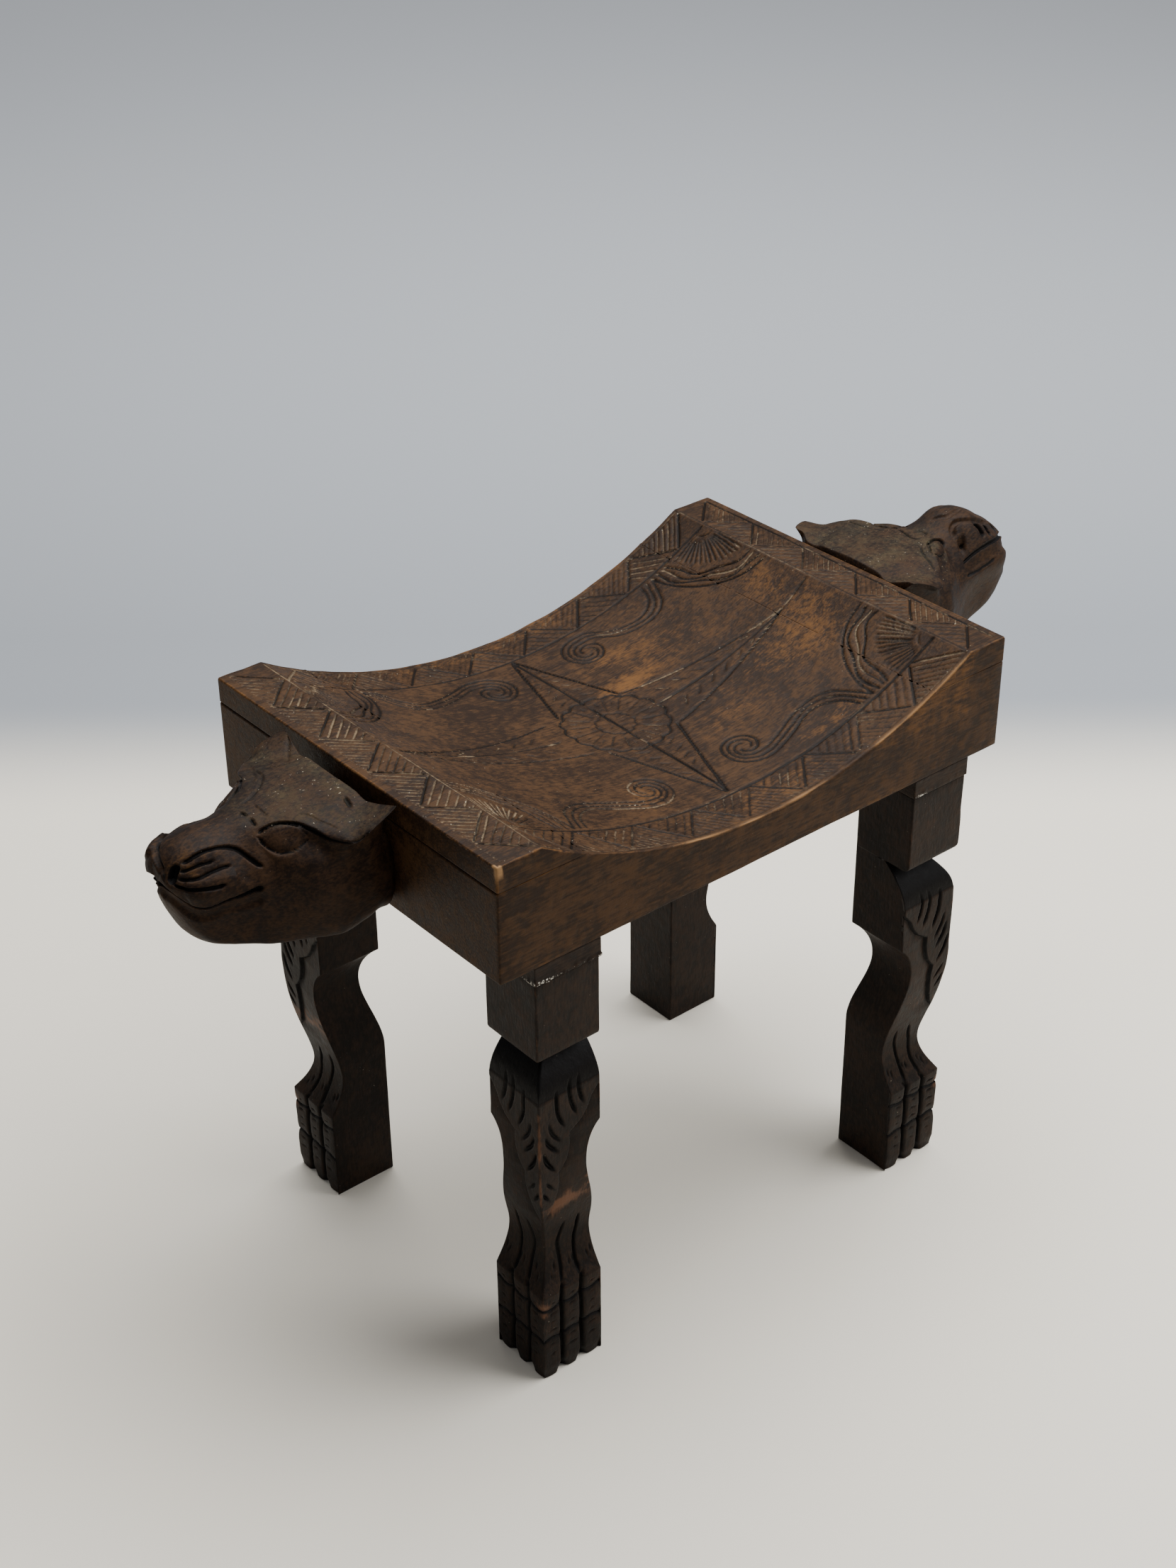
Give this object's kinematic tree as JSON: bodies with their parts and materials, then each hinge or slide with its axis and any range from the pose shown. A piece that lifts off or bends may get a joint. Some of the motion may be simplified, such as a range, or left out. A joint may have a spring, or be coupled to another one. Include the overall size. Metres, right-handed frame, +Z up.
{
  "type": "carved wooden stool",
  "caption": "Low carved hardwood stool with a dished seat, a cat's head at each end and clawed curved legs.",
  "frame": {"origin": "on the floor, under the middle of the stool's overall length and width", "axes": "+X along the seat towards the head with the longer muzzle, +Y to the back long side, +Z up"},
  "size_m": [0.7802, 0.3186, 0.4675],
  "materials": {
    "seat_wood": "dark stained carved hardwood with a worn satin wax, golden where it is rubbed",
    "head_wood": "dark stained carved hardwood, dusty and greyed on top",
    "leg_wood": "very dark stained carved hardwood, satin",
    "pad_wood": "dark stained sawn hardwood with dried white glue at its joints",
    "dowel_wood": "bare turned hardwood"
  },
  "bodies": {
    "root": {"seat_plank": "seat_wood", "end_board_left": "seat_wood", "end_board_right": "seat_wood", "head_left": "head_wood", "head_right": "head_wood", "leg_front_left": "leg_wood", "leg_front_right": "leg_wood", "leg_back_left": "leg_wood", "leg_back_right": "leg_wood", "leg_pad_front_left": "pad_wood", "leg_pad_front_right": "pad_wood", "leg_pad_back_left": "pad_wood", "leg_pad_back_right": "pad_wood", "leg_dowel_front_left": "dowel_wood", "leg_dowel_front_right": "dowel_wood", "leg_dowel_back_left": "dowel_wood", "leg_dowel_back_right": "dowel_wood", "head_dowel_left_1": "dowel_wood", "head_dowel_left_2": "dowel_wood", "head_dowel_right_1": "dowel_wood", "head_dowel_right_2": "dowel_wood"}
  },
  "joints": []
}
